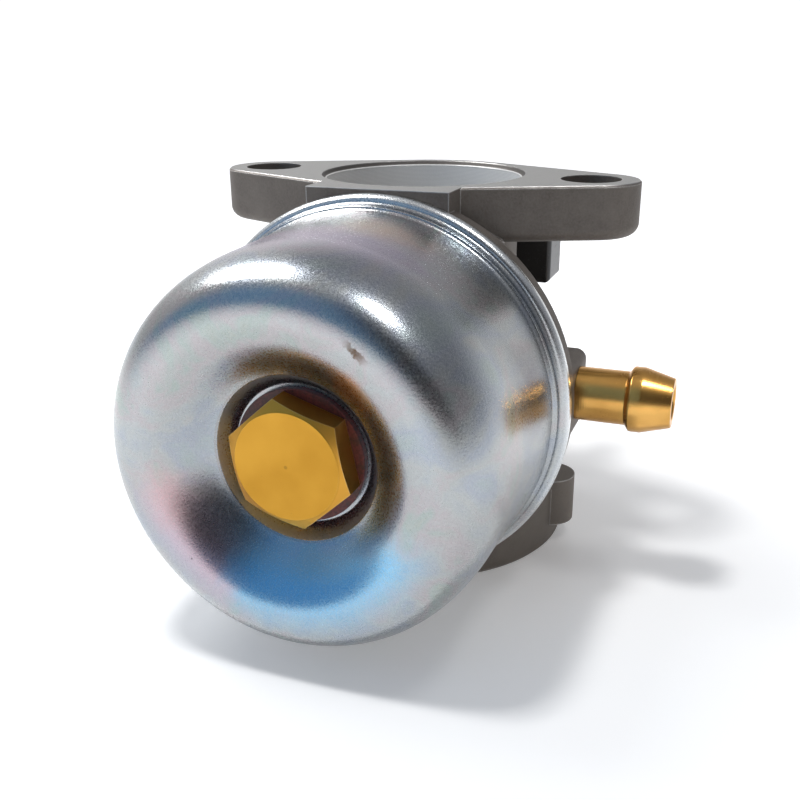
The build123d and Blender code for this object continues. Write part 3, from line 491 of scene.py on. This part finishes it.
FINISHES = {
    "cast_body": cast_metal(),
    "plated_bowl": zinc_plate(),
    "nut_brass": turned_brass(
        "golden_nut_brass", (0.62, 0.322, 0.041), (0.54, 0.268, 0.029), 0.30, "face", 0.16),
    "barb_brass": turned_brass(
        "bright_tail_brass", (0.84, 0.47, 0.13), (0.60, 0.30, 0.07), 0.15, "length", 0.30),
    "brass": turned_brass(
        "jet_brass", (0.84, 0.60, 0.26), (0.62, 0.42, 0.16), 0.24, "length", 0.25),
    "red_fibre": fibre(),
    "black_rubber": rubber("black_gasket_rubber", (0.018, 0.018, 0.019), (0.06, 0.058, 0.055)),
    "seat_rubber": rubber("brown_seat_rubber", (0.075, 0.035, 0.025), (0.12, 0.08, 0.06)),
    "plug_metal": ground_steel(
        "pressed_plug_alloy", (0.50, 0.50, 0.49), (0.72, 0.72, 0.71), 0.32, (1.0, 0.3, 1.0)),
    "steel": ground_steel(
        "ground_shaft_steel", (0.28, 0.28, 0.28), (0.50, 0.49, 0.48), 0.28, (3.0, 0.15, 3.0)),
    "spring_steel": ground_steel(
        "drawn_spring_wire", (0.30, 0.30, 0.31), (0.58, 0.58, 0.60), 0.28, (1.0, 1.0, 1.0), 0.5),
    "needle_metal": ground_steel(
        "turned_needle_alloy", (0.52, 0.53, 0.55), (0.78, 0.79, 0.80), 0.26, (0.3, 4.0, 0.3), 0.1),
    "plated_screw": ground_steel(
        "yellow_zinc_screw", (0.36, 0.29, 0.13), (0.56, 0.46, 0.24), 0.24, (0.3, 0.3, 3.0), 0.4),
    "felt": pressed_felt(),
    "black_plastic": moulded(
        "glossy_black_acetal", (0.007, 0.007, 0.007), (0.018, 0.017, 0.017), 0.34, 0.22, 0.35),
    "choke_plate_plastic": moulded(
        "black_choke_plate", (0.012, 0.012, 0.013), (0.035, 0.035, 0.037), 0.42, 0.1, 0.5),
    "float_plastic": moulded(
        "dark_float_foam", (0.020, 0.019, 0.019), (0.060, 0.055, 0.050), 0.55, 0.0, 0.2),
}


# ---------------------------------------------------------------- shapes

def line(start, end, count=12):
    """Points along a straight run, the last left out."""
    t = np.linspace(0.0, 1.0, count, endpoint=False)[:, None]
    return np.array(start) * (1 - t) + np.array(end) * t


def curve(start, first, second, end, count=48):
    """Points along a cubic Bezier from start to end through its two handles, the last left out."""
    t = np.linspace(0.0, 1.0, count, endpoint=False)[:, None]
    a, b, c, d = (np.array(p) for p in (start, first, second, end))
    return a * (1 - t) ** 3 + 3 * b * t * (1 - t) ** 2 + 3 * c * t * t * (1 - t) + d * t ** 3


def bow(start, middle, end, count=14):
    """Points along the circle arc through three points, the last left out."""
    a, b, c = (complex(*p) for p in (start, middle, end))
    w = (c - a) / (b - a)
    centre = (b - a) * (w - abs(w) ** 2) / (2j * w.imag) + a
    first, last = a - centre, c - centre
    sweep = np.angle(last / first)
    half = np.angle((b - centre) / first)
    if sweep * half < 0:
        sweep -= math.copysign(2 * math.pi, sweep)
    points = centre + first * np.exp(1j * sweep * np.linspace(0.0, 1.0, count, endpoint=False))
    return np.stack([points.real, points.imag], axis=1)


def eased(points, reach, count=5):
    """A closed outline with each corner sharper than 12 degrees eased by a parabola of that reach."""
    before = np.roll(points, 1, axis=0) - points
    after = np.roll(points, -1, axis=0) - points
    lengths = [np.linalg.norm(v, axis=1) for v in (before, after)]
    keep = lengths[0] > 1e-9
    points, before, after = points[keep], before[keep], after[keep]
    back_length, on_length = lengths[0][keep], lengths[1][keep]
    cosine = -(before * after).sum(1) / (back_length * on_length)
    sharp = cosine < math.cos(math.radians(12))
    t = np.linspace(0.0, 1.0, count)[:, None]
    out = []
    for i, point in enumerate(points):
        if sharp[i]:
            start = point + before[i] / back_length[i] * min(reach, back_length[i] * 0.45)
            end = point + after[i] / on_length[i] * min(reach, on_length[i] * 0.45)
            out.append(start * (1 - t) ** 2 + 2 * point * t * (1 - t) + end * t * t)
        else:
            out.append(point[None])
    return np.concatenate(out)


def grid_piece(name, points, slot, body, node):
    """A closed surface over a grid of points that wraps both ways: rows run along the first
    parameter and columns along the second, and each cell is one four-sided face."""
    rows, columns = points.shape[:2]
    index = np.arange(rows * columns).reshape(rows, columns)
    next_row, next_column = np.roll(index, -1, axis=0), np.roll(index, -1, axis=1)
    corners = np.stack([index, next_column, np.roll(next_row, -1, axis=1), next_row], axis=-1)
    mesh = bpy.data.meshes.new(name)
    mesh.from_pydata((points.reshape(-1, 3) * MM).tolist(), [], corners.reshape(-1, 4).tolist())
    mesh.update()
    piece = bpy.data.objects.new(name, mesh)
    bpy.context.scene.collection.objects.link(piece)
    close_and_face_out(mesh)
    return dress(piece, slot, body, node)


def close_and_face_out(mesh):
    """Merges doubled points at poles and seams, and turns all the faces outwards."""
    work = bmesh.new()
    work.from_mesh(mesh)
    bmesh.ops.remove_doubles(work, verts=work.verts, dist=1e-7)
    bmesh.ops.dissolve_degenerate(work, edges=work.edges, dist=1e-8)
    bmesh.ops.recalc_face_normals(work, faces=work.faces)
    work.to_mesh(mesh)
    work.free()
    mesh.shade_smooth()


def dress(piece, slot, body, *nodes):
    """Gives a piece its finish and its body, and lets it stand for the CAD nodes."""
    piece.data.materials.clear()
    piece.data.materials.append(FINISHES[slot])
    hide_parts(*nodes)
    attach(piece, body)
    return piece


def turned(profile, count, centre, wave):
    """A closed outline of (radius, y) carried round the y axis through centre: the point at angle a
    is radius times (cos a, sin a) across. wave changes the radius and y a little."""
    angle = np.linspace(0.0, 2 * math.pi, count, endpoint=False)[None, :]
    level = np.zeros_like(angle)
    radius, place = wave(profile[:, :1] + level, profile[:, 1:] + level, angle)
    across, up = radius * np.cos(angle), radius * np.sin(angle)
    return np.stack([centre[0] + across, place, centre[1] + up], axis=-1)


def cup_side(inset):
    """Half outline of the cup from the recess floor to the waist, as a skin that far inside."""
    ring = (DISH_RADIUS + inset, RING_Y + inset)
    crown = (CROWN_RADIUS, CROWN_Y + inset)
    waist = (WAIST[0] - inset, WAIST[1])
    return [
        line((HOLE_RADIUS, RECESS_Y + inset), (RECESS_RADIUS + inset, RECESS_Y + inset)),
        line((RECESS_RADIUS + inset, RECESS_Y + inset), ring, 6),
        curve(ring, (ring[0] + 2.1, ring[1] - 1.0), (crown[0] - 3.8, crown[1]), crown),
        curve(crown, (crown[0] + 4.0 - inset, crown[1]), (waist[0], waist[1] - 6.5), waist),
    ]


def cup_outline():
    """The whole closed outline of the cup's wall: outside, rolled rim, inside and the hole."""
    mouth = (BOWL_RADIUS, RIM_Y - 2.1)
    flare = (BOWL_RADIUS + 0.36, RIM_Y - 1.42)
    bead = (BOWL_RADIUS + 0.52, RIM_Y - 1.22)
    groove = (BOWL_RADIUS + 0.66, RIM_Y - 0.42)
    roll = (RIM_RADIUS - 0.55, RIM_Y - 0.12)
    back = (RIM_RADIUS - 0.3, COVER_Y)
    inner = BOWL_RADIUS - WALL
    outside = cup_side(0.0) + [
        line(WAIST, mouth, 24),
        bow(mouth, (BOWL_RADIUS + 0.10, RIM_Y - 1.68), flare, 10),
        bow(flare, (BOWL_RADIUS + 0.47, RIM_Y - 1.37), bead, 6),
        bow(bead, (BOWL_RADIUS + 0.53, RIM_Y - 0.80), groove, 10),
        bow(groove, (BOWL_RADIUS + 0.83, RIM_Y - 0.21), roll, 8),
        bow(roll, (RIM_RADIUS - 0.14, RIM_Y + 0.26), (RIM_RADIUS, RIM_Y + 0.80), 12),
        bow((RIM_RADIUS, RIM_Y + 0.80), (RIM_RADIUS - 0.06, RIM_Y + 1.25), back, 8),
        line(back, (inner, COVER_Y), 4),
        line((inner, COVER_Y), (inner, RIM_Y - 2.0), 6),
    ]
    inside = np.concatenate(cup_side(WALL) + [np.array([[WAIST[0] - WALL, WAIST[1]]])])[::-1]
    return eased(np.concatenate(outside + [inside]), 0.28)


def press_wave(radius, place, angle):
    """The press leaves the cup a few hundredths out of round and its end not quite flat."""
    side = np.clip((radius - 15.0) / 6.0, 0.0, 1.0)
    side = side * np.clip((COVER_Y - 3.5 - place) / 6.0, 0.0, 1.0)
    lobes = np.sin(3 * angle + 0.7 + place * 0.05) + 0.6 * np.sin(5 * angle - place * 0.09)
    end = np.clip((CROWN_Y + 6.0 - place) / 4.0, 0.0, 1.0)
    end = end * np.clip((radius - DISH_RADIUS - 0.2) / 3.0, 0.0, 1.0)
    ripple = np.sin(2 * angle + 1.1) + 0.5 * np.sin(4 * angle - 0.4 + radius * 0.3)
    return radius + OUT_OF_ROUND * lobes * side, place + OUT_OF_FLAT * (ripple + 1.5) * end


grid_piece("float_bowl_cup", turned(cup_outline(), CUP_STEPS, (BOWL_X, BOWL_Z), press_wave),
           "plated_bowl", "carburetor", "float_bowl")


def eased_copy(node, width, angle):
    """A smooth-shaded copy of a CAD piece, its edges sharper than angle broken by width."""
    source = frame["nodes"][node]
    mesh = source.data.copy()
    mesh.name = node + "_eased"
    work = bmesh.new()
    work.from_mesh(mesh)
    bmesh.ops.remove_doubles(work, verts=work.verts, dist=2e-6)
    bmesh.ops.dissolve_limit(work, angle_limit=math.radians(0.6), verts=work.verts, edges=work.edges)
    work.to_mesh(mesh)
    work.free()
    if "custom_normal" in mesh.attributes:
        mesh.attributes.remove(mesh.attributes["custom_normal"])
    mesh.shade_smooth()
    mesh.set_sharp_from_angle(angle=math.radians(angle))
    piece = bpy.data.objects.new(node + "_eased", mesh)
    bpy.context.scene.collection.objects.link(piece)
    bevel = piece.modifiers.new("broken edges", "BEVEL")
    bevel.width = width * MM
    bevel.segments = 2
    bevel.limit_method = "ANGLE"
    bevel.angle_limit = math.radians(angle)
    bevel.harden_normals = False
    bevel.use_clamp_overlap = True
    return dress(piece, SLOT_OF[node], BODY_OF[node], node)


# width of the broken edges in millimetres, and the least angle in degrees that counts as an edge
EASED = {"bowl_nut": (0.07, 12.0), "fuel_inlet_barb": (0.07, 28.0), "bowl_nut_washer": (0.08, 28.0),
         "carburetor_body": (0.12, 30.0)}
for node, (width, angle) in EASED.items():
    eased_copy(node, width, angle)

# CAD pieces whose shape is right keep it and get their finish
for node, piece in frame["nodes"].items():
    if not piece.hide_render:
        piece.data.materials.clear()
        piece.data.materials.append(FINISHES[SLOT_OF[node]])


# ---------------------------------------------------------------- floor, light and camera

def studio_floor():
    """Plain pale floor with a faint gloss, and a faint glow that is weaker under the part."""
    mesh = bpy.data.meshes.new("floor")
    half = 6.0
    corners = [(-half, -half, 0), (half, -half, 0), (half, half, 0), (-half, half, 0)]
    mesh.from_pydata(corners, [], [(0, 1, 2, 3)])
    floor = bpy.data.objects.new("floor", mesh)
    bpy.context.scene.collection.objects.link(floor)
    finish = Finish("white_acrylic_floor", IOR=1.4, Emission_Strength=1.0)
    cloud = finish.noise(120.0, 2.0, 0.5)
    part_y = -20.0
    away = distance(finish.x, finish.y - part_y)
    lit_from_below = finish.mix(away.rise(38.0, 120.0), (0.21, 0.21, 0.21), (0.60, 0.60, 0.60))
    finish.connect(Base_Color=finish.mix(cloud, (0.93, 0.93, 0.935), (0.95, 0.95, 0.945)),
                   Roughness=0.30 + cloud * 0.05, Emission_Color=lit_from_below)
    mesh.materials.append(finish.material)


def soft_light(name, place, size, watts, mirrored=True, matt=True):
    """A soft box of that size at place, turned to the bowl, all in metres. One that isn't mirrored
    only lights matt surfaces, and one that isn't for matt surfaces only shows in bright metal."""
    target = (0.0, -0.015, 0.02)
    data = bpy.data.lights.new(name, "AREA")
    data.shape = "RECTANGLE"
    data.size, data.size_y = size
    data.energy = watts
    lamp = bpy.data.objects.new(name, data)
    lamp.location = place
    lamp.visible_glossy = mirrored
    lamp.visible_diffuse = matt
    lamp.rotation_euler = (Vector(target) - Vector(place)).to_track_quat("-Z", "Y").to_euler()
    bpy.context.scene.collection.objects.link(lamp)


def studio_room():
    """White tent, greyer above and at the sides, with a dim open side in front of the bowl that is
    bluish on the left. The camera sees it all as plain white."""
    world = bpy.data.worlds.new("studio")
    bpy.context.scene.world = world
    world.use_nodes = True
    room = Nodes(world.node_tree)
    direction = room.node("ShaderNodeTexCoord", {}, output="Generated")
    x, y, z = room.parts(direction)
    open_side = (y + z * 0.35).rise(0.05, -0.45) * z.rise(-0.02, 0.10)
    above = (z + x * 0.25).rise(0.05, 0.60)
    dim = room.mix(x.rise(-0.30, 0.35), (0.17, 0.31, 0.50), (0.035, 0.035, 0.040))
    sides = x.size().rise(0.40, 0.85)
    colour = room.mix(sides, (1.0, 1.0, 1.0), (0.52, 0.525, 0.54))
    colour = room.mix(above * 0.85, colour, (0.16, 0.165, 0.185))
    colour = room.mix(open_side, colour, dim)
    seen = room.node("ShaderNodeLightPath", {}, output="Is Camera Ray")
    colour = room.mix(seen, colour, (1.0, 1.0, 1.0))
    glow = room.node("ShaderNodeBackground", {}, Color=colour, Strength=1.06)
    room.node("ShaderNodeOutputWorld", {}, Surface=glow)


def camera():
    """Camera low and to the right of the bowl's axis."""
    azimuth, elevation, roll = math.radians(21.23), math.radians(20.24), math.radians(-0.48)
    distance = 141.07 * MM
    target = Vector((-3.594, 0.0, 17.097)) * MM
    back = Vector((math.sin(azimuth) * math.cos(elevation), -math.cos(azimuth) * math.cos(elevation),
                   math.sin(elevation)))
    data = bpy.data.cameras.new("camera")
    data.sensor_width = 36.0
    data.lens = 43.70
    data.clip_start = 0.005
    data.clip_end = 30.0
    viewer = bpy.data.objects.new("camera", data)
    viewer.location = target + back * distance
    turn = back.to_track_quat("Z", "Y")
    viewer.rotation_euler = (turn.to_matrix() @ Matrix.Rotation(roll, 3, "Z")).to_euler()
    bpy.context.scene.collection.objects.link(viewer)
    bpy.context.scene.camera = viewer


studio_floor()
studio_room()
soft_light("overhead_left", (-0.20, 0.01, 0.31), (0.12, 0.16), 0.32)
soft_light("overhead_key", (-0.062, -0.080, 0.355), (0.05, 0.05), 0.62, mirrored=False)
soft_light("overhead_right", (0.13, -0.05, 0.34), (0.06, 0.06), 0.12)
soft_light("card_left", (-0.195, 0.01, 0.30), (0.12, 0.16), 0.90, matt=False)
soft_light("card_right", (0.125, -0.05, 0.33), (0.06, 0.05), 0.26, matt=False)
camera()
bpy.context.scene.view_settings.view_transform = "Standard"
bpy.context.scene.view_settings.exposure = 0.0
